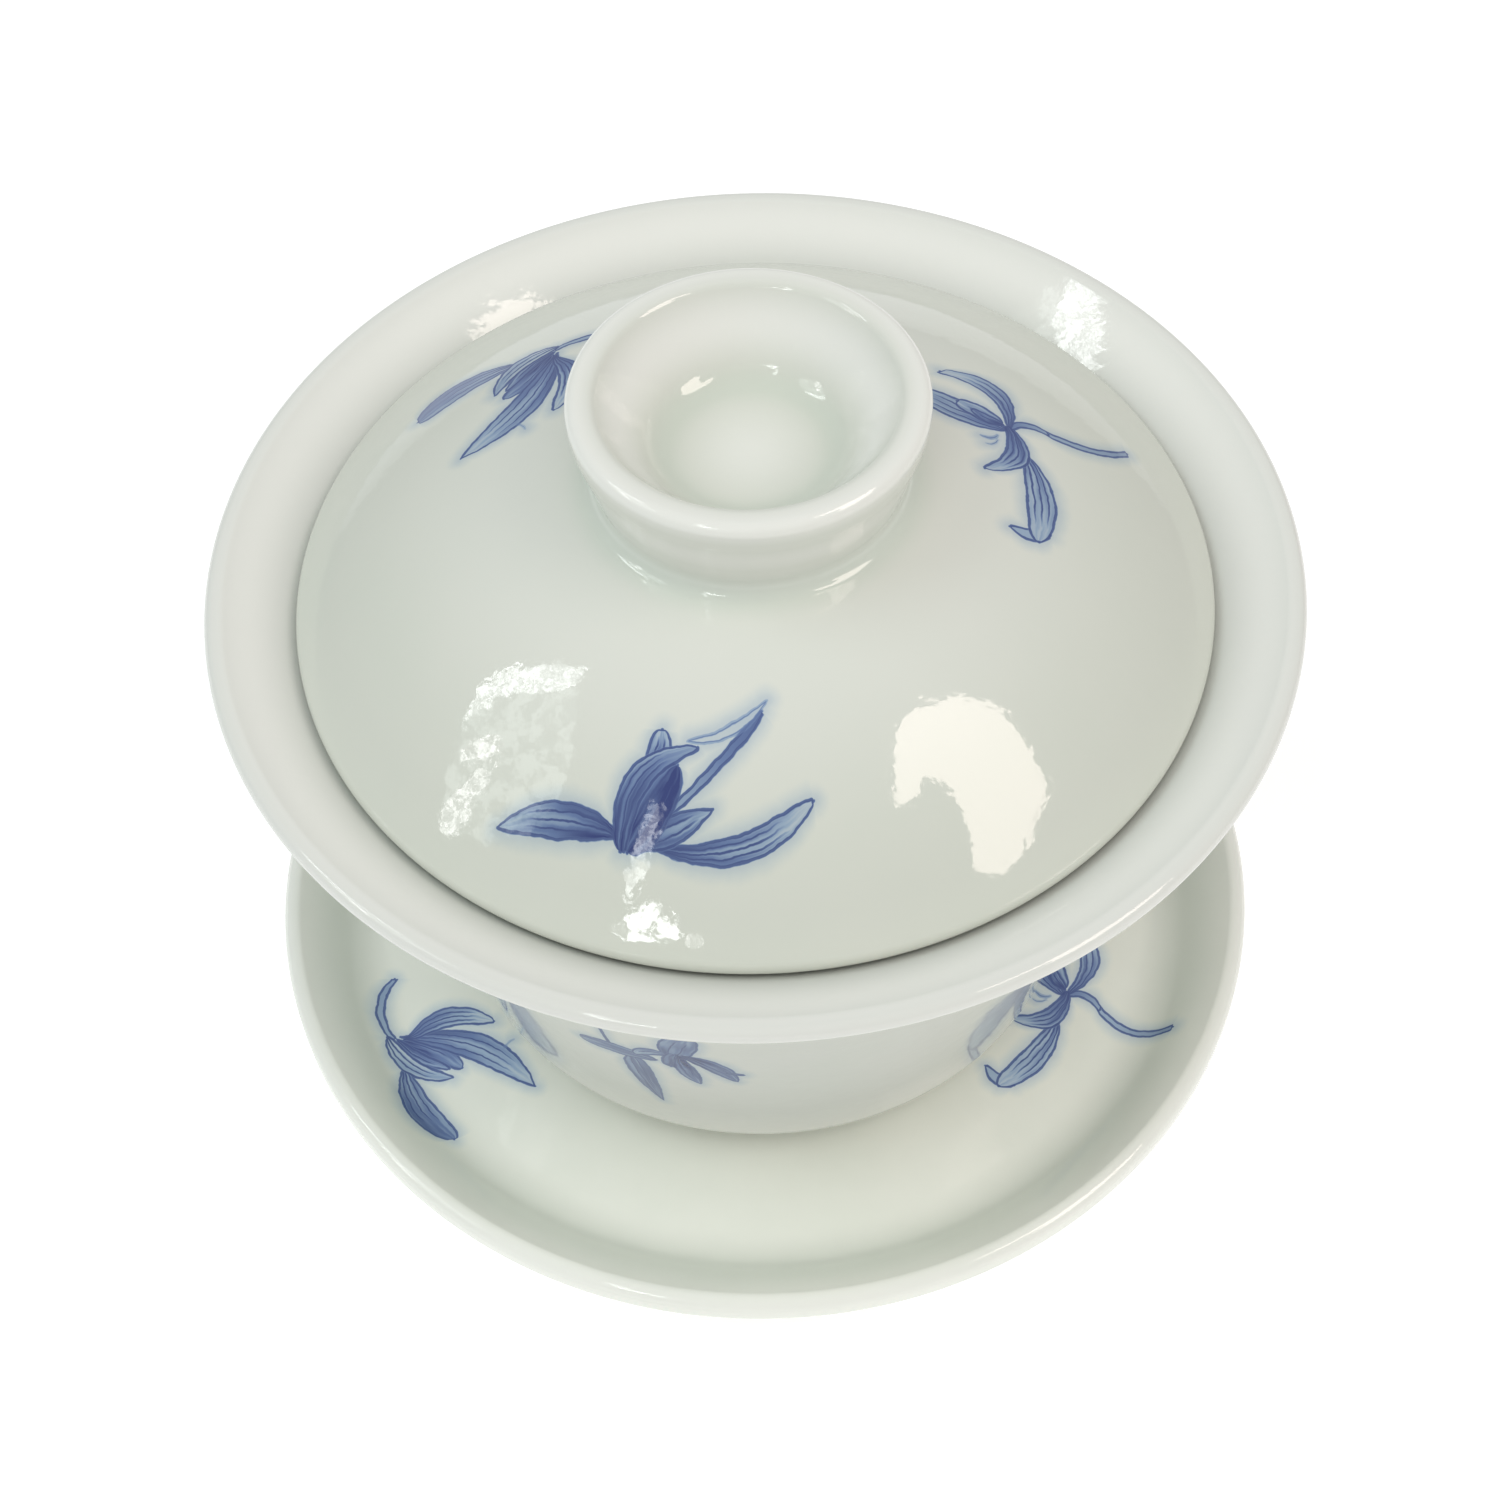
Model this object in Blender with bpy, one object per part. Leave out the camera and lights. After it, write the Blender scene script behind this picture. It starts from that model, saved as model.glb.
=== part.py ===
"""A gaiwan: a lidded porcelain tea bowl on its saucer.

Three turned pieces stand on one vertical axis: the saucer, the bowl whose foot ring sits in the
saucer's seat, and the domed lid whose edge lies inside the bowl's flared mouth. All lengths are in
metres, +Z is up, and the origin is the centre of the circle on which the saucer stands.
"""

import math

import bpy

# Overall heights and the gap between pieces that rest on each other
RIM_Z = 0.0663
KNOB_TOP_Z = RIM_Z + 0.0220
SAUCER_LIP_Z = 0.0170
SAUCER_FLOOR_Z = 0.0108
REST_GAP = 0.0003

# Saucer: a shallow dish with a round seat in its floor, on a foot ring
SAUCER_RADIUS = 0.0505
SAUCER_LIP_WIDTH = 0.0015
SAUCER_LIP_DROP = 0.0024
SAUCER_FLOOR_RADIUS = 0.0424
SAUCER_BEND = 0.0078
SAUCER_BACK_RADIUS = 0.0440
SAUCER_BACK_Z = 0.0082
SAUCER_FOOT_TOP_Z = 0.0062
SAUCER_FOOT_RADIUS = 0.0278
SAUCER_FOOT_WIDTH = 0.0030
SAUCER_UNDERSIDE_Z = 0.0050
SEAT_RADIUS = 0.0244
SEAT_SLOPE = 0.0012
SEAT_DEPTH = 0.0015

# Bowl: its outer wall rises from shoulder to waist to neck, then flares to the rim
RIM_RADIUS = 0.0500
RIM_WIDTH = 0.0016
RIM_DROP = 0.0015
RIM_ROUND = 0.0009
NECK_RADIUS = 0.0407
NECK_DROP = 0.0080
NECK_BEND = 0.0110
NECK_WALL = 0.0023
INNER_NECK_DROP = 0.0066
WAIST_RADIUS = 0.0364
WAIST_DROP = 0.0260
WAIST_BEND = 0.0600
SHOULDER_RADIUS = 0.0315
SHOULDER_DROP = 0.0509
SHOULDER_BEND = 0.0040
BOWL_WALL = 0.0026
BOWL_INSIDE_DROP = 0.0495
BOWL_INSIDE_BEND = 0.0110
BOWL_FOOT_RADIUS = 0.0222
BOWL_FOOT_WIDTH = 0.0024
BOWL_FOOT_HEIGHT = 0.0035
BOWL_FOOT_TOP = 0.0023
BOWL_CENTRE_RISE = 0.0003

# Lid: a shell between two spheres with one centre, a half-round edge, and a cup-shaped knob
DOME_RADIUS = 0.0630
DOME_CENTRE_Z = RIM_Z - 0.04955
LID_THICKNESS = 0.0022
LID_EDGE_ANGLE = math.radians(41.42)
KNOB_RADIUS = 0.0158
KNOB_LIP_WIDTH = 0.0025
KNOB_LIP_DROP = 0.0028
KNOB_LIP_TUCK = 0.0003
KNOB_BASE_RADIUS = 0.0134
KNOB_CUP_DEPTH = 0.0072
KNOB_CUP_RADIUS = 0.0082
KNOB_BEND = 0.0040
KNOB_FILLET = 0.0016

# Small roundings that the pieces share
LIP_OUTER_ROUND = 0.0011
LIP_INNER_ROUND = 0.0009
FOOT_ROUND = 0.0005
FOOT_TAPER = 0.0006
HOLLOW_ROUND = 0.0010

# Facets: the sides of each turned surface, and the turn between two points of a round stretch
SIDES = 48
FINE_TURN = math.radians(15.0)
COARSE_TURN = math.radians(30.0)
DOME_TURN = math.radians(4.0)
SMALL_ROUND = 0.0020

GLAZES = {
    "saucer_glaze": (0.74, 0.77, 0.70, 1.0),
    "bowl_glaze": (0.78, 0.79, 0.75, 1.0),
    "lid_glaze": (0.76, 0.79, 0.74, 1.0),
}
GLAZE_ROUGHNESS = 0.08


def clear_scene():
    for item in list(bpy.data.objects):
        bpy.data.objects.remove(item)


def arc(centre, radius, start, end, turn):
    """Points on an arc in the X-Z plane between two angles, measured from +X towards +Z."""
    count = max(2, math.ceil(abs(end - start) / turn))
    points = []
    for i in range(count + 1):
        angle = start + (end - start) * i / count
        points.append((centre[0] + radius * math.cos(angle), centre[1] + radius * math.sin(angle)))
    return points


def fillet(before, corner, after):
    """The arc that rounds a corner (x, z, radius) between two straight stretches."""
    radius = corner[2]
    to_before = math.atan2(before[1] - corner[1], before[0] - corner[0])
    to_after = math.atan2(after[1] - corner[1], after[0] - corner[0])
    opening = math.remainder(to_after - to_before, 2 * math.pi)
    middle = to_before + opening / 2
    reach = radius / math.sin(abs(opening) / 2)
    centre = (corner[0] + reach * math.cos(middle), corner[1] + reach * math.sin(middle))
    start = to_before - math.copysign(math.pi / 2, opening)
    end = start - math.copysign(math.pi - abs(opening), opening)
    turn = COARSE_TURN if radius < SMALL_ROUND else FINE_TURN
    return arc(centre, radius, start, end, turn)


def rounded(corners):
    """An outline through corners (x, z, rounding radius), whose two ends are plain points."""
    points = [corners[0]]
    for before, corner, after in zip(corners, corners[1:], corners[2:]):
        points += fillet(before, corner, after)
    points.append(corners[-1])
    return points


def glaze(name):
    material = bpy.data.materials.new(name)
    material.use_nodes = True
    shader = material.node_tree.nodes["Principled BSDF"]
    shader.inputs["Base Color"].default_value = GLAZES[name]
    shader.inputs["Roughness"].default_value = GLAZE_ROUGHNESS
    shader.inputs["Metallic"].default_value = 0.0
    return material


def turned(name, outline):
    """Spins an outline that runs from the top of the axis, down the outer side, to its bottom."""
    mesh = bpy.data.meshes.new(name)
    edges = [(i, i + 1) for i in range(len(outline) - 1)]
    mesh.from_pydata([(x, 0.0, z) for x, z in outline], edges, [])
    piece = bpy.data.objects.new(name, mesh)
    bpy.context.scene.collection.objects.link(piece)
    spin = piece.modifiers.new("spin", "SCREW")
    spin.axis = "Z"
    spin.steps = SIDES
    spin.render_steps = SIDES
    spin.use_merge_vertices = True
    spin.merge_threshold = 0.00001
    spin.use_smooth_shade = True
    piece.data.materials.append(glaze(name + "_glaze"))
    return piece


def foot_ring(radius, width, bottom_z):
    """The two rounded lower corners of a foot ring, from outside to inside."""
    return [(radius, bottom_z, FOOT_ROUND), (radius - width, bottom_z, FOOT_ROUND)]


def saucer_outline():
    seat_z = SAUCER_FLOOR_Z - SEAT_DEPTH
    hollow_radius = SAUCER_FOOT_RADIUS - SAUCER_FOOT_WIDTH - FOOT_TAPER
    return rounded(
        [
            (0.0, seat_z),
            (SEAT_RADIUS, seat_z, LIP_INNER_ROUND),
            (SEAT_RADIUS + SEAT_SLOPE, SAUCER_FLOOR_Z, LIP_INNER_ROUND),
            (SAUCER_FLOOR_RADIUS, SAUCER_FLOOR_Z, SAUCER_BEND),
            (SAUCER_RADIUS - SAUCER_LIP_WIDTH, SAUCER_LIP_Z, LIP_INNER_ROUND),
            (SAUCER_RADIUS, SAUCER_LIP_Z, LIP_OUTER_ROUND),
            (SAUCER_RADIUS, SAUCER_LIP_Z - SAUCER_LIP_DROP, LIP_OUTER_ROUND),
            (SAUCER_BACK_RADIUS, SAUCER_BACK_Z, SAUCER_BEND),
            (SAUCER_FOOT_RADIUS + FOOT_TAPER, SAUCER_FOOT_TOP_Z, HOLLOW_ROUND),
            *foot_ring(SAUCER_FOOT_RADIUS, SAUCER_FOOT_WIDTH, 0.0),
            (hollow_radius, SAUCER_UNDERSIDE_Z, HOLLOW_ROUND),
            (0.0, SAUCER_UNDERSIDE_Z),
        ]
    )


def bowl_outline():
    foot_z = SAUCER_FLOOR_Z - SEAT_DEPTH + REST_GAP
    hollow_z = foot_z + BOWL_FOOT_HEIGHT
    hollow_radius = BOWL_FOOT_RADIUS - BOWL_FOOT_WIDTH - FOOT_TAPER
    inside_z = RIM_Z - BOWL_INSIDE_DROP
    waist_z = RIM_Z - WAIST_DROP
    inner_neck_radius = NECK_RADIUS - NECK_WALL
    inner_neck_z = RIM_Z - INNER_NECK_DROP
    return rounded(
        [
            (0.0, inside_z),
            (SHOULDER_RADIUS - BOWL_WALL, inside_z, BOWL_INSIDE_BEND),
            (WAIST_RADIUS - BOWL_WALL, waist_z, WAIST_BEND),
            (inner_neck_radius, inner_neck_z, NECK_BEND - BOWL_WALL),
            (RIM_RADIUS - RIM_WIDTH, RIM_Z, LIP_OUTER_ROUND),
            (RIM_RADIUS, RIM_Z, RIM_ROUND),
            (RIM_RADIUS, RIM_Z - RIM_DROP, RIM_ROUND),
            (NECK_RADIUS, RIM_Z - NECK_DROP, NECK_BEND),
            (WAIST_RADIUS, waist_z, WAIST_BEND),
            (SHOULDER_RADIUS, RIM_Z - SHOULDER_DROP, SHOULDER_BEND),
            (BOWL_FOOT_RADIUS + FOOT_TAPER, foot_z + BOWL_FOOT_TOP, HOLLOW_ROUND),
            *foot_ring(BOWL_FOOT_RADIUS, BOWL_FOOT_WIDTH, foot_z),
            (hollow_radius, hollow_z, HOLLOW_ROUND),
            (0.0, hollow_z + BOWL_CENTRE_RISE),
        ]
    )


def dome_point(radius, angle):
    """A point on a sphere about the dome's centre; the angle is from straight up."""
    return (radius * math.sin(angle), DOME_CENTRE_Z + radius * math.cos(angle))


def lid_outline():
    cup_z = KNOB_TOP_Z - KNOB_CUP_DEPTH
    knob_foot = dome_point(DOME_RADIUS, math.asin(KNOB_BASE_RADIUS / DOME_RADIUS))
    dome_start = math.asin((KNOB_BASE_RADIUS + 2 * KNOB_FILLET) / DOME_RADIUS)
    knob = rounded(
        [
            (0.0, cup_z),
            (KNOB_CUP_RADIUS, cup_z, KNOB_BEND),
            (KNOB_RADIUS - KNOB_LIP_WIDTH, KNOB_TOP_Z, LIP_OUTER_ROUND),
            (KNOB_RADIUS, KNOB_TOP_Z, LIP_OUTER_ROUND),
            (KNOB_RADIUS - KNOB_LIP_TUCK, KNOB_TOP_Z - KNOB_LIP_DROP, KNOB_BEND),
            (*knob_foot, KNOB_FILLET),
            dome_point(DOME_RADIUS, dome_start),
        ]
    )
    up = math.pi / 2
    down_to = up - LID_EDGE_ANGLE
    centre = (0.0, DOME_CENTRE_Z)
    edge_centre = dome_point(DOME_RADIUS - LID_THICKNESS / 2, LID_EDGE_ANGLE)
    outside = arc(centre, DOME_RADIUS, up - dome_start, down_to, DOME_TURN)
    edge = arc(edge_centre, LID_THICKNESS / 2, down_to, down_to - math.pi, COARSE_TURN)
    inside = arc(centre, DOME_RADIUS - LID_THICKNESS, down_to, up, DOME_TURN)
    inside[-1] = (0.0, inside[-1][1])
    return knob + outside[1:] + edge[1:] + inside[1:]


clear_scene()
turned("saucer", saucer_outline())
turned("bowl", bowl_outline())
turned("lid", lid_outline())
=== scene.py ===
"""Looks of the gaiwan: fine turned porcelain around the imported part, its glaze and its painting."""

import math

import bpy
from mathutils import Matrix, Vector


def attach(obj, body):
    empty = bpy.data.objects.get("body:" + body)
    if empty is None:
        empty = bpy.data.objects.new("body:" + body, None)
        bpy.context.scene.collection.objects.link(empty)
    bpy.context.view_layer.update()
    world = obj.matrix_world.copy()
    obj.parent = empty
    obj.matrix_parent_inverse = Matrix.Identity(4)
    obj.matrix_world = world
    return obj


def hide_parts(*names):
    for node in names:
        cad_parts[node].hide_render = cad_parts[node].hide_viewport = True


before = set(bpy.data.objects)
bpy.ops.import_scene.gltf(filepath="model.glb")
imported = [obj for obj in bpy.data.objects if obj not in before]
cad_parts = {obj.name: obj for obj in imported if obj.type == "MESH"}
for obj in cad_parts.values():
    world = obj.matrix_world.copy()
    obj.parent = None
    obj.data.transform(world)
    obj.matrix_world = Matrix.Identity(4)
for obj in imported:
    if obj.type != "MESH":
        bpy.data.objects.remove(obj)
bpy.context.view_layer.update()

# ---------------------------------------------------------------- sizes, as in the part, in metres
RIM_Z = 0.0663
KNOB_TOP_Z = RIM_Z + 0.0220
SAUCER_LIP_Z = 0.0170
SAUCER_FLOOR_Z = 0.0108
REST_GAP = 0.0003

SAUCER_RADIUS = 0.0505
SAUCER_LIP_WIDTH = 0.0015
SAUCER_LIP_DROP = 0.0024
SAUCER_FLOOR_RADIUS = 0.0424
SAUCER_BEND = 0.0078
SAUCER_BACK_RADIUS = 0.0440
SAUCER_BACK_Z = 0.0082
SAUCER_FOOT_TOP_Z = 0.0062
SAUCER_FOOT_RADIUS = 0.0278
SAUCER_FOOT_WIDTH = 0.0030
SAUCER_UNDERSIDE_Z = 0.0050
SEAT_RADIUS = 0.0244
SEAT_SLOPE = 0.0012
SEAT_DEPTH = 0.0015

RIM_RADIUS = 0.0500
RIM_WIDTH = 0.0016
RIM_DROP = 0.0015
RIM_ROUND = 0.0009
NECK_RADIUS = 0.0407
NECK_DROP = 0.0080
NECK_BEND = 0.0110
NECK_WALL = 0.0023
INNER_NECK_DROP = 0.0066
WAIST_RADIUS = 0.0364
WAIST_DROP = 0.0260
WAIST_BEND = 0.0600
SHOULDER_RADIUS = 0.0315
SHOULDER_DROP = 0.0509
SHOULDER_BEND = 0.0040
BOWL_WALL = 0.0026
BOWL_INSIDE_DROP = 0.0495
BOWL_INSIDE_BEND = 0.0110
BOWL_FOOT_RADIUS = 0.0222
BOWL_FOOT_WIDTH = 0.0024
BOWL_FOOT_HEIGHT = 0.0035
BOWL_FOOT_TOP = 0.0023
BOWL_CENTRE_RISE = 0.0003
BOWL_FOOT_Z = SAUCER_FLOOR_Z - SEAT_DEPTH + REST_GAP

DOME_RADIUS = 0.0630
DOME_CENTRE_Z = RIM_Z - 0.04955
LID_THICKNESS = 0.0022
LID_EDGE_ANGLE = math.radians(41.42)
KNOB_RADIUS = 0.0158
KNOB_LIP_WIDTH = 0.0025
KNOB_LIP_DROP = 0.0028
KNOB_LIP_TUCK = 0.0003
KNOB_BASE_RADIUS = 0.0134
KNOB_CUP_DEPTH = 0.0072
KNOB_CUP_RADIUS = 0.0082
KNOB_BEND = 0.0040
KNOB_FILLET = 0.0016

LIP_OUTER_ROUND = 0.0011
LIP_INNER_ROUND = 0.0009
FOOT_ROUND = 0.0005
FOOT_TAPER = 0.0006
HOLLOW_ROUND = 0.0010

# How finely the shapes are turned: sides round the axis, and the angle from point to point on an
# arc, which is smaller from a radius of BIG_ARC
SIDES = 256
TURN = math.radians(7.5)
BIG_ARC = 0.005
BIG_ARC_TURN = TURN / 3
DOME_TURN = math.radians(1.25)
ON_AXIS = 1e-7

# Where a piece's material changes: bare clay up to this height of a foot ring, and painting only
# outside these radii, between these heights, and on faces that point up or out this far
BARE_HEIGHT = 0.0004
SAUCER_PAINT_RADIUS = 0.0265
SAUCER_PAINT_UP = 0.2
LID_PAINT_RADIUS = KNOB_RADIUS + 0.0003
LID_PAINT_UP = 0.5
WALL_PAINT_LOW = 0.022
WALL_PAINT_HIGH = 0.059
WALL_PAINT_OUT = 0.4

MM = 1000.0


# ---------------------------------------------------------------- turned shapes
def arc(centre, radius, start, end, turn):
    count = max(2, math.ceil(abs(end - start) / turn))
    points = []
    for i in range(count + 1):
        angle = start + (end - start) * i / count
        points.append((centre[0] + radius * math.cos(angle), centre[1] + radius * math.sin(angle)))
    return points


def fillet(before, corner, after):
    """The arc that rounds a corner (x, z, radius) between two straight stretches."""
    radius = corner[2]
    to_before = math.atan2(before[1] - corner[1], before[0] - corner[0])
    to_after = math.atan2(after[1] - corner[1], after[0] - corner[0])
    opening = math.remainder(to_after - to_before, 2 * math.pi)
    middle = to_before + opening / 2
    reach = radius / math.sin(abs(opening) / 2)
    centre = (corner[0] + reach * math.cos(middle), corner[1] + reach * math.sin(middle))
    start = to_before - math.copysign(math.pi / 2, opening)
    end = start - math.copysign(math.pi - abs(opening), opening)
    turn = TURN if radius < BIG_ARC else BIG_ARC_TURN
    return arc(centre, radius, start, end, turn)


def rounded(corners):
    points = [corners[0]]
    for before, corner, after in zip(corners, corners[1:], corners[2:]):
        points += fillet(before, corner, after)
    points.append(corners[-1])
    return points


def foot_ring(radius, width, bottom_z):
    return [(radius, bottom_z, FOOT_ROUND), (radius - width, bottom_z, FOOT_ROUND)]


def saucer_outline():
    seat_z = SAUCER_FLOOR_Z - SEAT_DEPTH
    hollow_radius = SAUCER_FOOT_RADIUS - SAUCER_FOOT_WIDTH - FOOT_TAPER
    return rounded(
        [
            (0.0, seat_z),
            (SEAT_RADIUS, seat_z, LIP_INNER_ROUND),
            (SEAT_RADIUS + SEAT_SLOPE, SAUCER_FLOOR_Z, LIP_INNER_ROUND),
            (SAUCER_FLOOR_RADIUS, SAUCER_FLOOR_Z, SAUCER_BEND),
            (SAUCER_RADIUS - SAUCER_LIP_WIDTH, SAUCER_LIP_Z, LIP_INNER_ROUND),
            (SAUCER_RADIUS, SAUCER_LIP_Z, LIP_OUTER_ROUND),
            (SAUCER_RADIUS, SAUCER_LIP_Z - SAUCER_LIP_DROP, LIP_OUTER_ROUND),
            (SAUCER_BACK_RADIUS, SAUCER_BACK_Z, SAUCER_BEND),
            (SAUCER_FOOT_RADIUS + FOOT_TAPER, SAUCER_FOOT_TOP_Z, HOLLOW_ROUND),
            *foot_ring(SAUCER_FOOT_RADIUS, SAUCER_FOOT_WIDTH, 0.0),
            (hollow_radius, SAUCER_UNDERSIDE_Z, HOLLOW_ROUND),
            (0.0, SAUCER_UNDERSIDE_Z),
        ]
    )


def bowl_outline():
    hollow_z = BOWL_FOOT_Z + BOWL_FOOT_HEIGHT
    hollow_radius = BOWL_FOOT_RADIUS - BOWL_FOOT_WIDTH - FOOT_TAPER
    inside_z = RIM_Z - BOWL_INSIDE_DROP
    waist_z = RIM_Z - WAIST_DROP
    return rounded(
        [
            (0.0, inside_z),
            (SHOULDER_RADIUS - BOWL_WALL, inside_z, BOWL_INSIDE_BEND),
            (WAIST_RADIUS - BOWL_WALL, waist_z, WAIST_BEND),
            (NECK_RADIUS - NECK_WALL, RIM_Z - INNER_NECK_DROP, NECK_BEND - BOWL_WALL),
            (RIM_RADIUS - RIM_WIDTH, RIM_Z, LIP_OUTER_ROUND),
            (RIM_RADIUS, RIM_Z, RIM_ROUND),
            (RIM_RADIUS, RIM_Z - RIM_DROP, RIM_ROUND),
            (NECK_RADIUS, RIM_Z - NECK_DROP, NECK_BEND),
            (WAIST_RADIUS, waist_z, WAIST_BEND),
            (SHOULDER_RADIUS, RIM_Z - SHOULDER_DROP, SHOULDER_BEND),
            (BOWL_FOOT_RADIUS + FOOT_TAPER, BOWL_FOOT_Z + BOWL_FOOT_TOP, HOLLOW_ROUND),
            *foot_ring(BOWL_FOOT_RADIUS, BOWL_FOOT_WIDTH, BOWL_FOOT_Z),
            (hollow_radius, hollow_z, HOLLOW_ROUND),
            (0.0, hollow_z + BOWL_CENTRE_RISE),
        ]
    )


def dome_point(radius, angle):
    return (radius * math.sin(angle), DOME_CENTRE_Z + radius * math.cos(angle))


def lid_outline():
    cup_z = KNOB_TOP_Z - KNOB_CUP_DEPTH
    knob_foot = dome_point(DOME_RADIUS, math.asin(KNOB_BASE_RADIUS / DOME_RADIUS))
    dome_start = math.asin((KNOB_BASE_RADIUS + 2 * KNOB_FILLET) / DOME_RADIUS)
    knob = rounded(
        [
            (0.0, cup_z),
            (KNOB_CUP_RADIUS, cup_z, KNOB_BEND),
            (KNOB_RADIUS - KNOB_LIP_WIDTH, KNOB_TOP_Z, LIP_OUTER_ROUND),
            (KNOB_RADIUS, KNOB_TOP_Z, LIP_OUTER_ROUND),
            (KNOB_RADIUS - KNOB_LIP_TUCK, KNOB_TOP_Z - KNOB_LIP_DROP, KNOB_BEND),
            (*knob_foot, KNOB_FILLET),
            dome_point(DOME_RADIUS, dome_start),
        ]
    )
    up = math.pi / 2
    down_to = up - LID_EDGE_ANGLE
    centre = (0.0, DOME_CENTRE_Z)
    edge_centre = dome_point(DOME_RADIUS - LID_THICKNESS / 2, LID_EDGE_ANGLE)
    outside = arc(centre, DOME_RADIUS, up - dome_start, down_to, DOME_TURN)
    edge = arc(edge_centre, LID_THICKNESS / 2, down_to, down_to - math.pi, TURN)
    inside = arc(centre, DOME_RADIUS - LID_THICKNESS, down_to, up, DOME_TURN)
    inside[-1] = (0.0, inside[-1][1])
    return knob + outside[1:] + edge[1:] + inside[1:]


def turned(name, outline, body, materials, choose):
    """Spins an outline into a smooth shell. choose(x, z, out, up, angle) picks each face's material
    from its place on the outline, its normal and its angle round the axis."""
    rings = []
    vertices = []
    for x, z in outline:
        if x < ON_AXIS:
            rings.append([len(vertices)] * SIDES)
            vertices.append((0.0, 0.0, z))
            continue
        rings.append(range(len(vertices), len(vertices) + SIDES))
        for i in range(SIDES):
            angle = 2 * math.pi * i / SIDES
            vertices.append((x * math.cos(angle), x * math.sin(angle), z))
    faces = []
    picks = []
    for (x0, z0), (x1, z1), above, below in zip(outline, outline[1:], rings, rings[1:]):
        length = math.hypot(x1 - x0, z1 - z0)
        out, up = (z0 - z1) / length, (x1 - x0) / length
        for i in range(SIDES):
            j = (i + 1) % SIDES
            faces.append(list(dict.fromkeys([above[i], below[i], below[j], above[j]])))
            picks.append(choose((x0 + x1) / 2, (z0 + z1) / 2, out, up, 360 * (i + 0.5) / SIDES))
    mesh = bpy.data.meshes.new(name)
    mesh.from_pydata(vertices, [], faces)
    mesh.polygons.foreach_set("material_index", picks)
    mesh.shade_smooth()
    piece = bpy.data.objects.new(name, mesh)
    bpy.context.scene.collection.objects.link(piece)
    for material in materials:
        mesh.materials.append(material)
    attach(piece, body)
    return piece


# ---------------------------------------------------------------- shader helpers
class Graph:
    """Adds nodes to a node tree with plain calls. A value is a socket, a number or a vector."""

    def __init__(self, tree):
        self.tree = tree

    def put(self, socket, value):
        if isinstance(value, bpy.types.NodeSocket):
            self.tree.links.new(value, socket)
        else:
            socket.default_value = value

    def math(self, operation, a, b=0.0):
        node = self.tree.nodes.new("ShaderNodeMath")
        node.operation = operation
        self.put(node.inputs[0], a)
        self.put(node.inputs[1], b)
        return node.outputs[0]

    def fade(self, value, start, end, low=0.0, high=1.0):
        """Goes smoothly from low to high as value goes from start to end."""
        node = self.tree.nodes.new("ShaderNodeMapRange")
        node.interpolation_type = "SMOOTHSTEP"
        self.put(node.inputs["Value"], value)
        self.put(node.inputs["From Min"], start)
        self.put(node.inputs["From Max"], end)
        self.put(node.inputs["To Min"], low)
        self.put(node.inputs["To Max"], high)
        return node.outputs["Result"]

    def mix(self, factor, a, b):
        node = self.tree.nodes.new("ShaderNodeMix")
        self.put(node.inputs[0], factor)
        self.put(node.inputs[2], a)
        self.put(node.inputs[3], b)
        return node.outputs[0]

    def blend(self, kind, factor, a, b):
        node = self.tree.nodes.new("ShaderNodeMix")
        node.data_type = "RGBA"
        node.blend_type = kind
        self.put(node.inputs[0], factor)
        self.put(node.inputs[6], a)
        self.put(node.inputs[7], b)
        return node.outputs[2]

    def vector(self, operation, a, b=(0.0, 0.0, 0.0)):
        node = self.tree.nodes.new("ShaderNodeVectorMath")
        node.operation = operation
        self.put(node.inputs[0], a)
        self.put(node.inputs[1], b)
        return node.outputs["Value" if operation == "LENGTH" else "Vector"]

    def scaled(self, a, factor):
        node = self.tree.nodes.new("ShaderNodeVectorMath")
        node.operation = "SCALE"
        self.put(node.inputs[0], a)
        self.put(node.inputs["Scale"], factor)
        return node.outputs["Vector"]

    def split(self, a):
        node = self.tree.nodes.new("ShaderNodeSeparateXYZ")
        self.put(node.inputs[0], a)
        return node.outputs

    def join(self, x, y, z):
        node = self.tree.nodes.new("ShaderNodeCombineXYZ")
        for socket, value in zip(node.inputs, (x, y, z)):
            self.put(socket, value)
        return node.outputs[0]

    def place(self, a, where, turn, stretch=1.0):
        """Coordinates seen from a point, turned by an angle, the first one divided by stretch."""
        node = self.tree.nodes.new("ShaderNodeMapping")
        node.vector_type = "TEXTURE"
        self.put(node.inputs["Vector"], a)
        self.put(node.inputs["Location"], (where[0], where[1], 0.0))
        self.put(node.inputs["Rotation"], (0.0, 0.0, turn))
        self.put(node.inputs["Scale"], (stretch, 1.0, 1.0))
        return node.outputs["Vector"]

    def noise(self, a, scale, detail=2.0, roughness=0.5):
        node = self.tree.nodes.new("ShaderNodeTexNoise")
        self.put(node.inputs["Vector"], a)
        node.inputs["Scale"].default_value = scale
        node.inputs["Detail"].default_value = detail
        node.inputs["Roughness"].default_value = roughness
        return node.outputs

    def bump(self, height, strength, distance):
        node = self.tree.nodes.new("ShaderNodeBump")
        node.inputs["Strength"].default_value = strength
        node.inputs["Distance"].default_value = distance
        self.put(node.inputs["Height"], height)
        return node.outputs["Normal"]

    def ramp(self, value, stops):
        node = self.tree.nodes.new("ShaderNodeValToRGB")
        self.put(node.inputs[0], value)
        bar = node.color_ramp
        while len(bar.elements) < len(stops):
            bar.elements.new(0.5)
        for element, (where, colour) in zip(bar.elements, stops):
            element.position = where
            element.color = (*colour, 1.0)
        return node.outputs[0]


def new_material(name):
    material = bpy.data.materials.new(name)
    material.use_nodes = True
    shader = material.node_tree.nodes["Principled BSDF"]
    graph = Graph(material.node_tree)
    place = material.node_tree.nodes.new("ShaderNodeTexCoord").outputs["Object"]
    return material, shader, graph, graph.scaled(place, MM)


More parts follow.
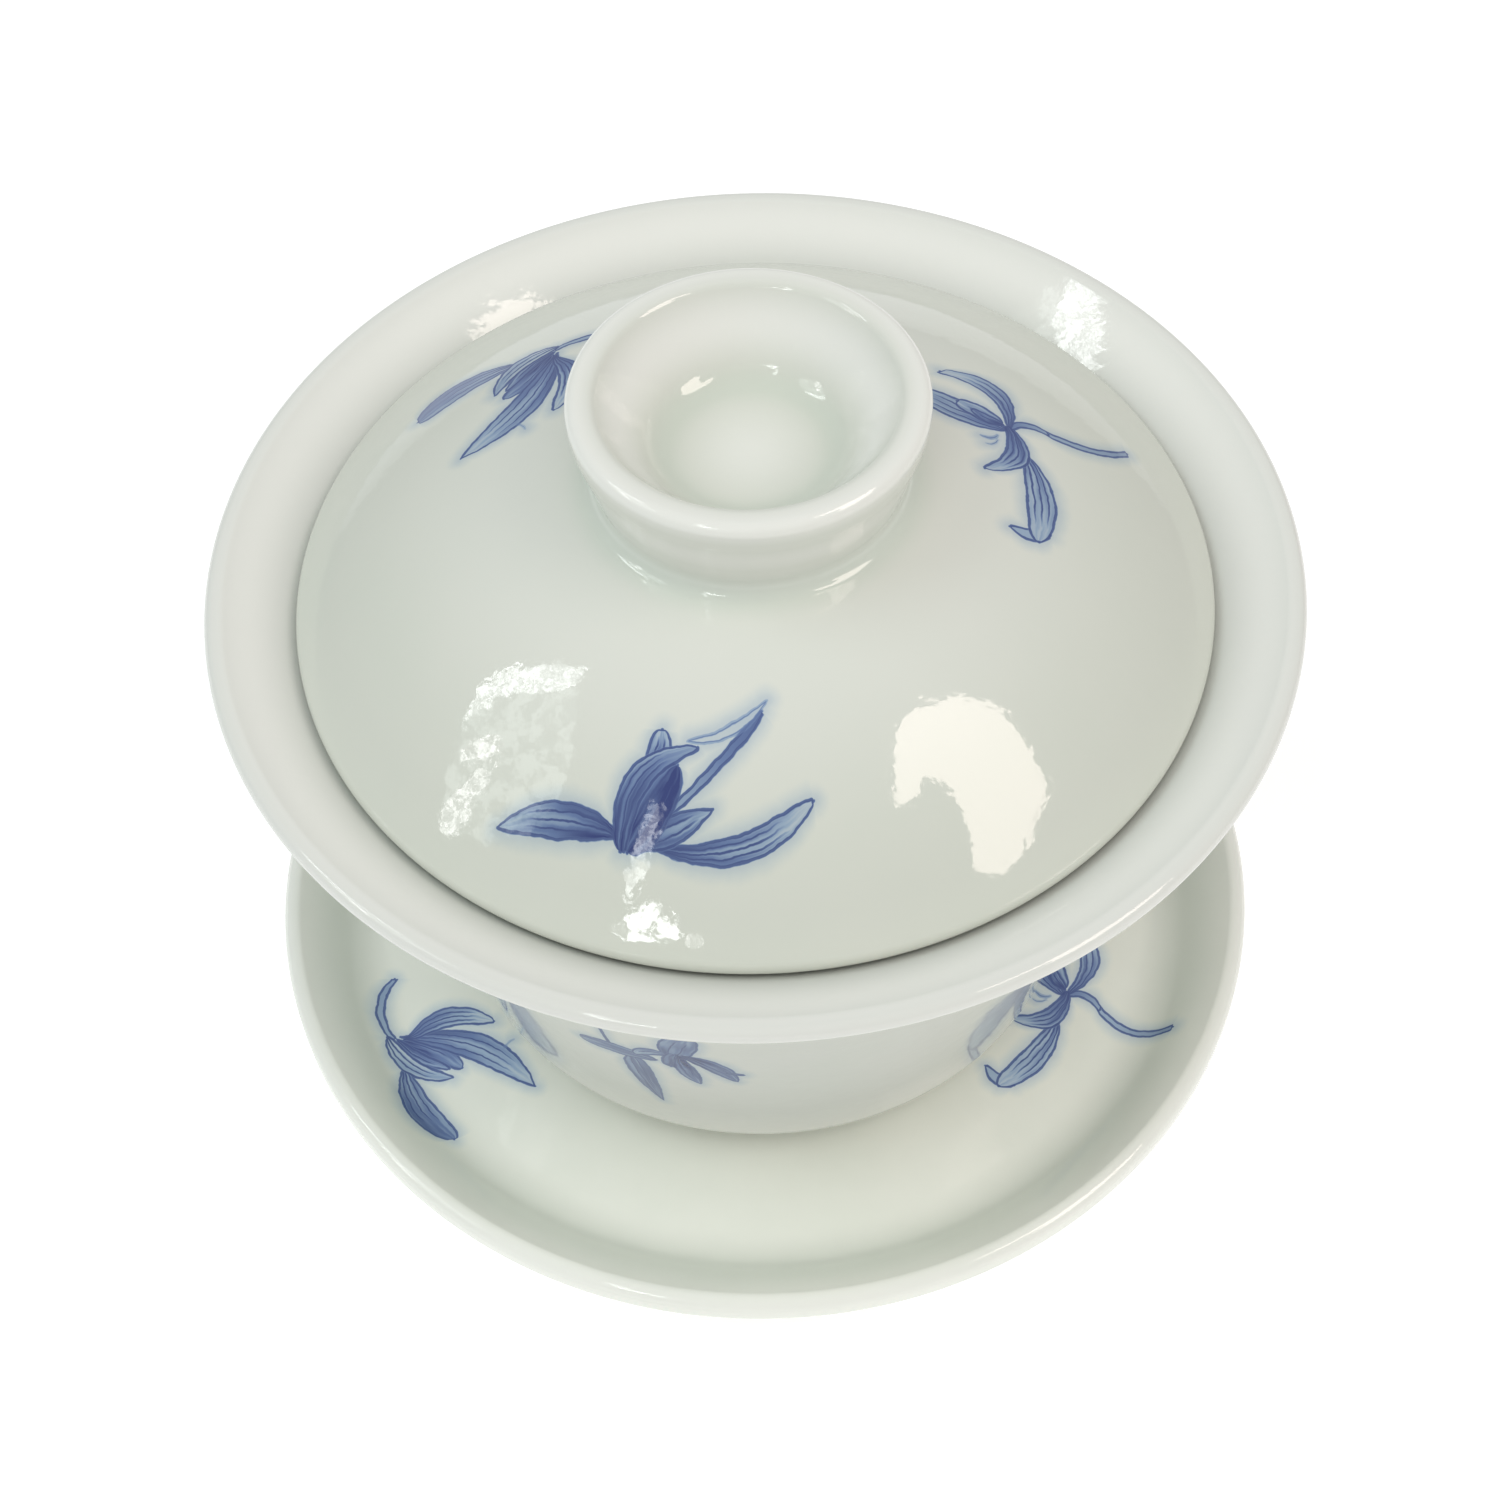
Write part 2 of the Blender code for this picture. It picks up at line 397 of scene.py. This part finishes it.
# ---------------------------------------------------------------- glaze, clay and painting
# The glaze where it lies thick, and the paler glaze of thinly glazed edges, also used as painted light
# where the pieces are brightened
POOLED = (0.580, 0.642, 0.560)
THIN_GLAZE_AND_LIGHT = (0.860, 0.860, 0.825)
CLOUD_SHARE = 0.15
# Its gloss, and the depth of its waves
GLAZE_ROUGHNESS = 0.045
GLAZE_IOR = 1.52
GLAZE_WAVE = 0.00002
# The iron specks in it: cells per millimetre, and how far from a cell's centre a speck fades
SPECK = (0.20, 0.16, 0.12, 1.0)
SPECK_CELLS = 0.07
SPECK_FADE = (0.016, 0.008)
SPECK_SHARE = 0.7

CLAY = [(0.3, (0.52, 0.47, 0.40)), (0.7, (0.70, 0.66, 0.59))]
CLAY_ROUGHNESS = 0.85
CLAY_GRAIN = 0.00005
CLAY_BUMP = 0.6

# Ink on the porcelain: how much light each strength lets through
INK = [
    (0.0, (1.0, 1.0, 1.0)),
    (0.12, (0.84, 0.89, 0.96)),
    (0.35, (0.43, 0.555, 0.81)),
    (0.6, (0.195, 0.283, 0.59)),
    (1.0, (0.055, 0.08, 0.30)),
]
# In millimetres: how far the hand wanders, where a wash, an outline and a vein fade, and how wide
# the blue spreads into the glaze
WANDER = 0.45
WASH_FADE = (0.05, -0.07)
LINE_FADE = (0.25, 0.07)
VEIN_FADE = (0.17, 0.04)
HALO_WIDTH = 1.7
HALO_INK = 0.19
VEIN_INK = 0.9
# Along a stroke, from 0 at its root to 1 at its tip: where the veins end, and how late a hook bends
VEIN_END = (0.97, 0.6)
HOOK_POWER = 5.0
# The wash's streaks: how fine they are along and across the stroke, and what they do to its ink
STREAK_ALONG = 1.6
STREAK_ACROSS = 2.2
STREAK_FADE = (0.3, 0.7, 0.72, 1.25)
# Where a stroke ends in a point, its width counts as this
LEAST_WIDTH = 0.05


class Stroke:
    """One petal, leaf or stem from root to tip, in millimetres. half is half its width, bow how far
    its middle bends to the left, hook how far its tip does, belly where it is widest, point how
    sharp its ends are, tone the ink at root and tip, veins the number of lines along it, outline
    the ink of its outline."""

    def __init__(
        self,
        root,
        tip,
        half,
        bow=0.0,
        hook=0.0,
        belly=0.5,
        point=1.2,
        tone=(0.5, 0.35),
        veins=2,
        outline=0.9,
    ):
        self.root, self.tip, self.half = root, tip, half
        self.bow, self.hook, self.belly, self.point = bow, hook, belly, point
        self.tone, self.veins, self.outline = tone, veins, outline

    def draw(self, graph, place, ink, halo):
        length = math.dist(self.root, self.tip)
        turn = math.atan2(self.tip[1] - self.root[1], self.tip[0] - self.root[0])
        along, across, _ = graph.split(graph.place(place, self.root, turn, length))
        t = graph.math("MAXIMUM", graph.math("MINIMUM", along, 1.0), 0.0)
        rest = graph.math("SUBTRACT", 1.0, t)
        middle = graph.math("MULTIPLY", graph.math("MULTIPLY", t, rest), 4 * self.bow)
        if self.hook:
            curl = graph.math("MULTIPLY", graph.math("POWER", t, HOOK_POWER), self.hook)
            middle = graph.math("ADD", middle, curl)
        early, late = self.point * self.belly, self.point * (1 - self.belly)
        fullest = self.half / (self.belly**early * (1 - self.belly) ** late)
        rising, falling = graph.math("POWER", t, early), graph.math("POWER", rest, late)
        width = graph.math("MULTIPLY", graph.math("MULTIPLY", rising, falling), fullest)
        offset = graph.math("SUBTRACT", across, middle)
        side = graph.math("SUBTRACT", graph.math("ABSOLUTE", offset), width)
        from_middle = graph.math("ABSOLUTE", graph.math("SUBTRACT", along, 0.5))
        past = graph.math("MULTIPLY", graph.math("SUBTRACT", from_middle, 0.5), length)
        # Distance to the outline: negative inside it, rounded past its ends
        within = graph.math("MINIMUM", graph.math("MAXIMUM", side, past), 0.0)
        beside, beyond = graph.math("MAXIMUM", side, 0.0), graph.math("MAXIMUM", past, 0.0)
        outside = graph.vector("LENGTH", graph.join(beside, beyond, 0.0))
        edge = graph.math("ADD", within, outside)
        inside = graph.fade(edge, *WASH_FADE)
        line = graph.fade(graph.math("ABSOLUTE", edge), *LINE_FADE, 0.0, self.outline)
        own = graph.fade(t, 0.0, 1.0, *self.tone)
        if self.veins:
            spread = graph.math("DIVIDE", offset, graph.math("MAXIMUM", width, LEAST_WIDTH))
            steps = self.veins + 1
            lengthwise = graph.math("MULTIPLY", t, STREAK_ALONG)
            crosswise = graph.math("MULTIPLY", spread, STREAK_ACROSS)
            streaks = graph.noise(graph.join(lengthwise, crosswise, self.root[0]), 1.0, detail=1.0)
            own = graph.math("MULTIPLY", own, graph.fade(streaks["Fac"], *STREAK_FADE))
            # The nearest vein is where the petal's width, cut into equal steps, has a step's end
            counted = graph.math("ADD", graph.math("MULTIPLY", spread, steps / 2), steps / 2)
            phase = graph.math("PINGPONG", counted, 0.5)
            gap = graph.math("MULTIPLY", graph.math("MULTIPLY", phase, width), 2 / steps)
            vein = graph.fade(gap, *VEIN_FADE, 0.0, VEIN_INK)
            vein = graph.math("MULTIPLY", vein, graph.fade(t, *VEIN_END))
            own = graph.math("MAXIMUM", own, vein)
        own = graph.math("MAXIMUM", own, line)
        ink = graph.mix(graph.math("MAXIMUM", inside, line), ink, own)
        halo = graph.math("MAXIMUM", halo, graph.fade(edge, HALO_WIDTH, 0.0, 0.0, HALO_INK))
        return ink, halo


# The orchid sprays, each in its own plane. On a lid or saucer the first coordinate points away from
# the piece's axis, and on a wall it runs along the wall and the second one points up.
SPRAY_A = [
    Stroke((2.2, 2.2), (-7.3, 7.7), 0.34, bow=-0.45, point=0.2, tone=(0.4, 0.75), veins=0),
    Stroke((-8.3, 7.8), (-3.4, 2.3), 0.42, bow=0.9, tone=(0.25, 0.15), veins=0, outline=0.6),
    Stroke((-0.6, 0.4), (-3.9, 0.1), 0.95, belly=0.45, point=0.8, tone=(0.9, 0.35)),
    Stroke((4.6, 1.6), (-2.0, 13.6), 1.0, bow=-2.1, belly=0.62, tone=(0.75, 0.3), veins=3),
    Stroke((4.4, -1.4), (4.7, -12.0), 1.3, bow=-0.5, hook=0.5, point=1.7, tone=(0.85, 0.4), veins=3),
    Stroke((4.7, 0.4), (0.9, 5.8), 1.0, bow=-0.2, belly=0.4, point=1.4, tone=(0.8, 0.4)),
    Stroke((5.4, -0.3), (-1.6, 2.0), 1.5, bow=-0.2, belly=0.45, point=0.9, tone=(0.95, 0.85)),
    Stroke((5.4, -0.9), (-3.2, 3.4), 1.05, bow=2.3, belly=0.4, point=1.0, tone=(0.85, 0.4), veins=3),
]
SPRAY_B = [
    Stroke((5.2, -0.2), (2.5, -7.4), 0.38, bow=1.35, point=0.2, tone=(0.35, 0.45), veins=0),
    Stroke((5.3, 3.6), (3.6, 13.6), 1.45, bow=-1.1, belly=0.62, point=1.1, tone=(0.5, 0.6), veins=3),
    Stroke((4.4, 0.2), (-0.2, 5.6), 1.0, bow=0.6, point=1.0, tone=(0.9, 0.6), veins=1),
    Stroke((4.8, 0.0), (1.0, 5.2), 0.5, bow=-0.5, point=1.0, tone=(0.7, 0.5), veins=1),
    Stroke((4.4, -0.3), (-6.2, 10.9), 1.55, bow=2.0, belly=0.55, point=1.9, tone=(0.7, 0.33), veins=3),
    Stroke((5.7, -0.6), (1.1, 6.4), 0.95, bow=-1.3, belly=0.45, tone=(0.3, 0.35)),
    Stroke((3.6, 0.1), (-5.2, 1.9), 1.1, bow=1.6, point=1.1, tone=(0.65, 0.3), veins=3),
    Stroke((-5.0, 5.3), (-6.2, 4.8), 0.06, bow=0.1, point=0.4, tone=(0.5, 0.4), veins=0, outline=0.55),
]
SPRAY_C = [
    Stroke((2.0, 2.9), (10.2, 2.8), 0.36, bow=-1.2, point=0.15, tone=(0.35, 0.45), veins=0),
    Stroke((-1.6, 2.6), (2.3, 2.75), 0.36, bow=0.8, point=0.15, tone=(0.6, 0.4), veins=0),
    Stroke((-1.8, 2.4), (-9.4, 7.6), 1.4, bow=0.3, belly=0.55, tone=(0.6, 0.35), veins=3),
    Stroke((-2.0, 3.2), (-5.6, 6.0), 0.95, point=0.9, tone=(0.6, 0.35), veins=1),
    Stroke((-2.0, 3.2), (-4.5, 4.9), 0.5, bow=0.2, point=0.9, tone=(0.8, 0.6), veins=1),
    Stroke((-1.5, 2.6), (-5.3, 10.8), 1.0, bow=-2.3, hook=0.7, belly=0.66, point=0.9, tone=(0.7, 0.3)),
    Stroke((-1.3, -9.7), (-4.9, -9.2), 0.62, bow=0.45, belly=0.4, point=1.0, tone=(0.35, 0.35), veins=0),
    Stroke((-0.9, -0.6), (-2.7, -10.6), 1.3, bow=0.8, belly=0.58, veins=3),
    Stroke((-1.5, 3.0), (-5.4, -2.7), 1.05, bow=1.9, belly=0.45, point=1.0, tone=(0.75, 0.35), veins=3),
    Stroke((-2.9, 1.6), (-4.6, 1.5), 0.1, bow=0.35, point=0.5, tone=(0.6, 0.5), veins=0, outline=0.6),
    Stroke((-3.1, 1.0), (-4.4, 0.5), 0.1, bow=0.25, point=0.5, tone=(0.6, 0.5), veins=0, outline=0.5),
]
SPRAY_D = [
    Stroke((-9.4, 4.2), (-9.9, 8.2), 0.12, point=0.4, tone=(0.6, 0.3), veins=0),
    Stroke((-2.9, 5.2), (-0.9, 11.0), 1.7, bow=0.2, belly=0.45, point=0.7, tone=(0.7, 0.55)),
    Stroke((-7.2, 2.6), (-5.3, -8.4), 1.35, bow=-0.3, belly=0.3, point=1.3, tone=(0.65, 0.75)),
    Stroke((-4.6, 3.4), (-12.9, 2.5), 1.15, bow=-0.3, belly=0.55, point=1.1, tone=(0.6, 0.6)),
    Stroke((-3.4, 5.6), (-6.9, 3.6), 0.75, bow=-0.5, point=0.9, tone=(0.7, 0.4), veins=1),
    Stroke((-2.4, 5.9), (-3.2, 2.2), 1.1, point=0.7, tone=(0.85, 0.8), veins=1),
    Stroke((-2.2, 5.2), (-0.6, -1.2), 0.95, bow=-0.3, point=1.4, tone=(0.95, 0.6)),
    Stroke((-1.8, 5.9), (3.2, 0.3), 1.1, bow=0.8, point=1.4, tone=(0.95, 0.6)),
    Stroke((2.2, 2.6), (3.9, 2.1), 0.18, point=0.5, tone=(0.6, 0.6), veins=0),
]


def brushwork(graph, plane, strokes):
    """How strong the ink is at a place in a spray's plane. The hand's wander bends every line."""
    wander = graph.vector("SUBTRACT", graph.noise(plane, 0.7)["Color"], (0.5, 0.5, 0.5))
    plane = graph.vector("ADD", plane, graph.scaled(wander, WANDER))
    ink, halo = 0.0, 0.0
    for stroke in strokes:
        ink, halo = stroke.draw(graph, plane, ink, halo)
    return graph.math("MAXIMUM", ink, halo)


def flat_plane(distance, angle, turn=0.0):
    """The plane of a spray on a lid or saucer, seen from above, with its middle off the axis and
    its first direction turned from the one straight out."""
    around = math.radians(angle)
    centre = (distance * math.cos(around), distance * math.sin(around))

    def plane(graph, place):
        seen = graph.vector("MULTIPLY", place, (1.0, 1.0, 0.0))
        return graph.place(seen, centre, around + math.radians(turn))

    return plane


def wall_plane(distance, height, angle):
    """The plane of a spray on a wall, unrolled: along the wall, then up."""

    def plane(graph, place):
        x, y, z = graph.split(graph.place(place, (0.0, 0.0), math.radians(angle)))
        along = graph.math("MULTIPLY", graph.math("ARCTAN2", y, x), distance)
        return graph.join(along, graph.math("SUBTRACT", z, height), 0.0)

    return plane


def glaze(name, body, pools, thin_and_lit_rings, strokes=None, plane=None):
    """Glossy pale glaze over a body colour. pools and thin_and_lit_rings are rings (radius, height,
    width, strength), in millimetres: where the glaze lies thick, and where it is paler, from glaze
    lying thinly on edges and from painted light. strokes is the spray painted under it, in its plane."""
    material, shader, graph, place = new_material(name)
    x, y, z = graph.split(place)
    radius = graph.vector("LENGTH", graph.join(x, y, 0.0))
    cloud = graph.noise(place, 0.09, detail=3.0)["Fac"]

    def rings(spots):
        total = 0.0
        for ring_radius, height, width, strength in spots:
            out = graph.math("SUBTRACT", radius, ring_radius)
            away = graph.vector("LENGTH", graph.join(out, graph.math("SUBTRACT", z, height), 0.0))
            total = graph.math("MAXIMUM", total, graph.fade(away, width, 0.0, 0.0, strength))
        return total

    pooled, thin_and_lit_colour = (*POOLED, 1.0), (*THIN_GLAZE_AND_LIGHT, 1.0)
    clouded = graph.fade(cloud, 0.3, 0.8, 0.0, CLOUD_SHARE)
    colour = graph.blend("MIX", clouded, (*body, 1.0), pooled)
    colour = graph.blend("MIX", rings(pools), colour, pooled)
    # Paler rings: glaze lying thinly on edges, and painted light where a piece is brightened
    colour = graph.blend("MIX", rings(thin_and_lit_rings), colour, thin_and_lit_colour)
    # Iron in the clay comes through as a few tiny dark dots
    cells = material.node_tree.nodes.new("ShaderNodeTexVoronoi")
    cells.inputs["Scale"].default_value = SPECK_CELLS
    graph.put(cells.inputs["Vector"], place)
    speck = graph.fade(cells.outputs["Distance"], *SPECK_FADE, 0.0, SPECK_SHARE)
    colour = graph.blend("MIX", speck, colour, SPECK)
    if strokes:
        ink = graph.ramp(brushwork(graph, plane(graph, place), strokes), INK)
        colour = graph.blend("MULTIPLY", 1.0, colour, ink)
    graph.put(shader.inputs["Base Color"], colour)
    shader.inputs["Roughness"].default_value = GLAZE_ROUGHNESS
    shader.inputs["IOR"].default_value = GLAZE_IOR
    skin = graph.noise(place, 0.55)["Fac"]
    graph.put(shader.inputs["Normal"], graph.bump(skin, 1.0, GLAZE_WAVE))
    return material


def biscuit():
    """Bare fired clay, where a foot ring has been wiped free of glaze."""
    material, shader, graph, place = new_material("bare_clay")
    grain = graph.noise(place, 3.0, detail=4.0, roughness=0.7)["Fac"]
    graph.put(shader.inputs["Base Color"], graph.ramp(grain, CLAY))
    shader.inputs["Roughness"].default_value = CLAY_ROUGHNESS
    graph.put(shader.inputs["Normal"], graph.bump(grain, CLAY_BUMP, CLAY_GRAIN))
    return material


# ---------------------------------------------------------------- the three pieces
clay = biscuit()
rim = RIM_Z * MM


def nearest(angles, angle):
    """The place of the nearest spray's glaze among a piece's materials, after the plain one."""
    gaps = [abs(math.remainder(angle - a, 360.0)) for a in angles]
    return 1 + gaps.index(min(gaps))


def glazes(piece, glazing, sprays, plane_of):
    """A piece's plain glaze, then its glaze over each of its sprays."""
    made = [glaze(f"{piece}_glaze_plain", **glazing)]
    for k, (strokes, *where) in enumerate(sprays):
        name = f"{piece}_glaze_spray_{k}"
        made.append(glaze(name, **glazing, strokes=strokes, plane=plane_of(*where)))
    return made


# Each spray's distance from the axis, angle and turn
SAUCER_SPRAYS = [
    (SPRAY_B, 37.0, 203.0, 0.0),
    (SPRAY_C, 35.1, -27.4, -4.6),
    (SPRAY_A, 34.0, 90.0, 0.0),
]
saucer_glazing = dict(
    # Painted light: the saucer's body is brighter than the bowl's and lid's, though all are one
    # porcelain, lifting the shade the bowl casts on its floor
    body=(0.870, 0.885, 0.815),
    pools=[(45.4, 12.9, 6.0, 0.5)],
    # A paler lip, from glaze lying thinly on its edge and from painted light
    thin_and_lit_rings=[(50.2, 16.8, 2.0, 0.5)],
)
saucer_looks = [*glazes("saucer", saucer_glazing, SAUCER_SPRAYS, flat_plane), clay]


def saucer_part(x, z, out, up, angle):
    if z < BARE_HEIGHT:
        return saucer_looks.index(clay)
    if up > SAUCER_PAINT_UP and x > SAUCER_PAINT_RADIUS:
        return nearest([spray[2] for spray in SAUCER_SPRAYS], angle)
    return 0


# Each spray's distance from the axis, height and angle
BOWL_SPRAYS = [
    (SPRAY_D, 37.0, 32.2, 260.0),
    (SPRAY_C, 37.0, 37.0, 20.0),
    (SPRAY_B, 37.0, 36.0, 140.0),
]
bowl_glazing = dict(
    # Painted shade: the bowl's body is darker than the saucer's and lid's, though all are one porcelain
    body=(0.645, 0.658, 0.625),
    pools=[(23.0, 12.0, 4.0, 0.4)],
    # Painted light: the rim and inner flare whitened where light falls on them, over a thinly glazed
    # lip, and the lower wall brightened by light thrown up from the saucer
    thin_and_lit_rings=[(46.5, rim - 1.5, 7.0, 1.0), (30.0, 15.5, 10.0, 1.0)],
)
bowl_looks = [*glazes("bowl", bowl_glazing, BOWL_SPRAYS, wall_plane), clay]


def bowl_part(x, z, out, up, angle):
    if z < BOWL_FOOT_Z + BARE_HEIGHT:
        return bowl_looks.index(clay)
    if out > WALL_PAINT_OUT and WALL_PAINT_LOW < z < WALL_PAINT_HIGH:
        return nearest([spray[3] for spray in BOWL_SPRAYS], angle)
    return 0


# As for the saucer
LID_SPRAYS = [
    (SPRAY_A, 30.0, 252.0, 0.0),
    (SPRAY_B, 23.0, 137.5, -34.5),
    (SPRAY_C, 26.0, 11.5, 0.0),
]
lid_glazing = dict(
    # Painted light and shade: the lid's body is darker than the saucer's, though all are one porcelain
    body=(0.672, 0.690, 0.625),
    pools=[(14.2, rim + 12.0, 2.8, 0.95), (7.6, rim + 14.8, 2.6, 0.5)],
    # The knob's top edge is paler from glaze lying thinly on it and from painted light; the rest is
    # painted light: the knob's outer wall, the inner wall and floor of its cup, lifting the shade in it,
    # and a broad ring round the knob, so the lid is brighter near the knob and darker towards its edge
    thin_and_lit_rings=[
        (14.9, rim + 21.8, 2.8, 0.9),
        (15.2, rim + 17.0, 3.6, 0.5),
        (11.6, rim + 18.8, 5.5, 1.0),
        (0.0, rim + 14.8, 8.5, 0.65),
        (20.0, rim + 10.5, 18.0, 0.4),
    ],
)
lid_looks = glazes("lid", lid_glazing, LID_SPRAYS, flat_plane)


def lid_part(x, z, out, up, angle):
    if up > LID_PAINT_UP and x > LID_PAINT_RADIUS:
        return nearest([spray[2] for spray in LID_SPRAYS], angle)
    return 0


saucer = turned(
    "saucer_fine", saucer_outline(), "saucer", saucer_looks, saucer_part
)
bowl = turned("bowl_fine", bowl_outline(), "bowl", bowl_looks, bowl_part)
lid = turned("lid_fine", lid_outline(), "lid", lid_looks, lid_part)
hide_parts("saucer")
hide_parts("bowl")
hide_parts("lid")


# ---------------------------------------------------------------- floor, light and camera
FLOOR_SIDE = 6.0
WHITE = (1.0, 1.0, 1.0)
# The lamps and windows stand round this point, at ROOM from it or NEARER
AIM = Vector((0.0, 0.0, 0.055))
ROOM = 1.2
NEARER = 1.15
LAMP_SIDE = 0.75
CORNER_CUTS = 3
DAPPLE_FADE = (0.48, 0.54)


def stage_floor():
    mesh = bpy.data.meshes.new("floor")
    half = FLOOR_SIDE / 2
    corners = [(-half, -half, 0), (half, -half, 0), (half, half, 0), (-half, half, 0)]
    mesh.from_pydata(corners, [], [(0, 1, 2, 3)])
    floor = bpy.data.objects.new("floor", mesh)
    bpy.context.scene.collection.objects.link(floor)
    material = bpy.data.materials.new("pale_floor")
    material.use_nodes = True
    shader = material.node_tree.nodes["Principled BSDF"]
    shader.inputs["Base Color"].default_value = (0.86, 0.86, 0.86, 1.0)
    shader.inputs["Roughness"].default_value = 0.9
    shader.inputs["Specular IOR Level"].default_value = 0.0
    shader.inputs["Emission Color"].default_value = (*WHITE, 1.0)
    shader.inputs["Emission Strength"].default_value = 0.36
    mesh.materials.append(material)


def direction(azimuth, elevation):
    a, e = math.radians(azimuth), math.radians(elevation)
    return Vector((math.cos(a) * math.cos(e), math.sin(a) * math.cos(e), math.sin(e)))


def soft_light(name, azimuth, elevation, radiance, colour):
    """A square light of a given brightness that fills shadows and has no reflection of its own."""
    towards = direction(azimuth, elevation)
    data = bpy.data.lights.new(name, "AREA")
    data.shape = "SQUARE"
    data.size = LAMP_SIDE
    data.energy = radiance * math.pi * LAMP_SIDE**2
    data.color = colour
    lamp = bpy.data.objects.new(name, data)
    lamp.location = AIM + towards * ROOM
    lamp.rotation_euler = towards.to_track_quat("Z", "Y").to_euler()
    lamp.visible_glossy = False
    bpy.context.scene.collection.objects.link(lamp)


def window(name, corners, radiance, colour, dapple=None, reach=ROOM):
    """A bright pane that only shows in reflections. Its corners are azimuths and elevations, in
    degrees, and get cut round. dapple (dim, size) breaks it into patches of light of about that
    size, dim in between."""
    for _ in range(CORNER_CUTS):
        cut = []
        for (a, b), (c, d) in zip(corners, corners[1:] + corners[:1]):
            cut += [((3 * a + c) / 4, (3 * b + d) / 4), ((a + 3 * c) / 4, (b + 3 * d) / 4)]
        corners = cut
    around = [AIM + direction(*corner) * reach for corner in corners]
    mesh = bpy.data.meshes.new(name)
    mesh.from_pydata([tuple(p) for p in around], [], [range(len(around))])
    pane = bpy.data.objects.new(name, mesh)
    bpy.context.scene.collection.objects.link(pane)
    material = bpy.data.materials.new(name)
    material.use_nodes = True
    tree = material.node_tree
    tree.nodes.clear()
    light = tree.nodes.new("ShaderNodeEmission")
    light.inputs["Color"].default_value = (*colour, 1.0)
    light.inputs["Strength"].default_value = radiance
    tree.links.new(light.outputs[0], tree.nodes.new("ShaderNodeOutputMaterial").inputs["Surface"])
    if dapple:
        dim, size = dapple
        graph = Graph(tree)
        place = tree.nodes.new("ShaderNodeTexCoord").outputs["Object"]
        leaves = graph.noise(place, 1 / size, detail=3.0, roughness=0.6)["Fac"]
        graph.put(light.inputs["Strength"], graph.fade(leaves, *DAPPLE_FADE, dim, radiance))
    mesh.materials.append(material)
    pane.visible_camera = pane.visible_diffuse = pane.visible_shadow = False


stage_floor()
world = bpy.data.worlds.new("soft_room")
bpy.context.scene.world = world
world.use_nodes = True
sky = world.node_tree.nodes["Background"]
sky.inputs["Color"].default_value = (*WHITE, 1.0)
sky.inputs["Strength"].default_value = 0.44
soft_light("day_left", 180.0, 50.0, 2.1, (0.86, 0.99, 0.98))
soft_light("day_right", -20.0, 50.0, 2.1, (1.0, 0.94, 0.86))
soft_light("day_front", -95.0, 60.0, 1.7, (1.0, 1.0, 0.97))
window(
    "window_right",
    [(-18, 64.3), (-8, 61.3), (-3, 56), (-2, 49), (-5, 45), (-12, 40), (-14, 36.5)]
    + [(-24, 35.7), (-32, 35), (-40, 39), (-36, 43), (-32, 47), (-29, 53), (-32, 57.5)]
    + [(-36, 54.8), (-41, 55.3), (-46, 57.2), (-36, 62), (-27, 64.5)],
    7.1,
    (1.0, 0.88, 0.81),
)
window(
    "window_left",
    [(180, 38), (173, 41), (168, 49), (171, 61), (193, 58), (206, 52), (209, 41)]
    + [(196, 31), (187, 33)],
    2.8,
    (0.93, 1.0, 0.98),
    dapple=(0.9, 0.05),
)
window(
    "window_left_top",
    [(178, 38), (174, 41), (169, 43), (168, 55), (172, 62), (176, 60), (178, 57)]
    + [(176, 53), (174.5, 47), (176, 43)],
    11.0,
    (0.96, 1.0, 1.0),
    dapple=(3.0, 0.02),
    reach=NEARER,
)
window(
    "window_left_middle",
    [(184, 37), (182, 40), (182, 45), (189, 46), (188, 41)],
    11.0,
    WHITE,
    dapple=(1.5, 0.02),
    reach=NEARER,
)
window(
    "window_left_end",
    [(189, 37), (188, 41), (191, 42), (195, 36), (197.5, 31), (192, 29)],
    10.0,
    WHITE,
    dapple=(2.5, 0.02),
    reach=NEARER,
)
window(
    "window_front",
    [(229, 62), (235, 60), (236.5, 56), (236, 52), (238, 45), (235.5, 44), (233, 50), (231, 56)],
    9.0,
    (0.97, 1.0, 1.0),
    dapple=(3.5, 0.03),
)
window(
    "window_front_low",
    [(235, 38), (238, 42), (240, 45), (244.5, 46), (248, 43.5), (251, 41), (247, 39), (240, 37)],
    14.0,
    (0.97, 1.0, 1.0),
    dapple=(1.0, 0.045),
    reach=NEARER,
)
window(
    "window_front_spot",
    [(251.5, 41), (253.0, 43), (256.5, 41.5), (255, 39)],
    8.0,
    WHITE,
    dapple=(1.5, 0.018),
    reach=NEARER,
)

camera_data = bpy.data.cameras.new("camera")
camera_data.sensor_width = 36.0
camera_data.lens = 65.455
camera = bpy.data.objects.new("camera", camera_data)
camera.location = (0.0, -0.1625, 0.2549)
# The camera's right, up and backward directions are the columns
view = Matrix(
    (
        (0.99948, 0.03199, 0.00346),
        (-0.02354, 0.80040, -0.59900),
        (-0.02193, 0.59861, 0.80074),
    )
)
camera.rotation_euler = view.to_euler()
bpy.context.scene.collection.objects.link(camera)
bpy.context.scene.camera = camera
bpy.context.scene.view_settings.view_transform = "Standard"
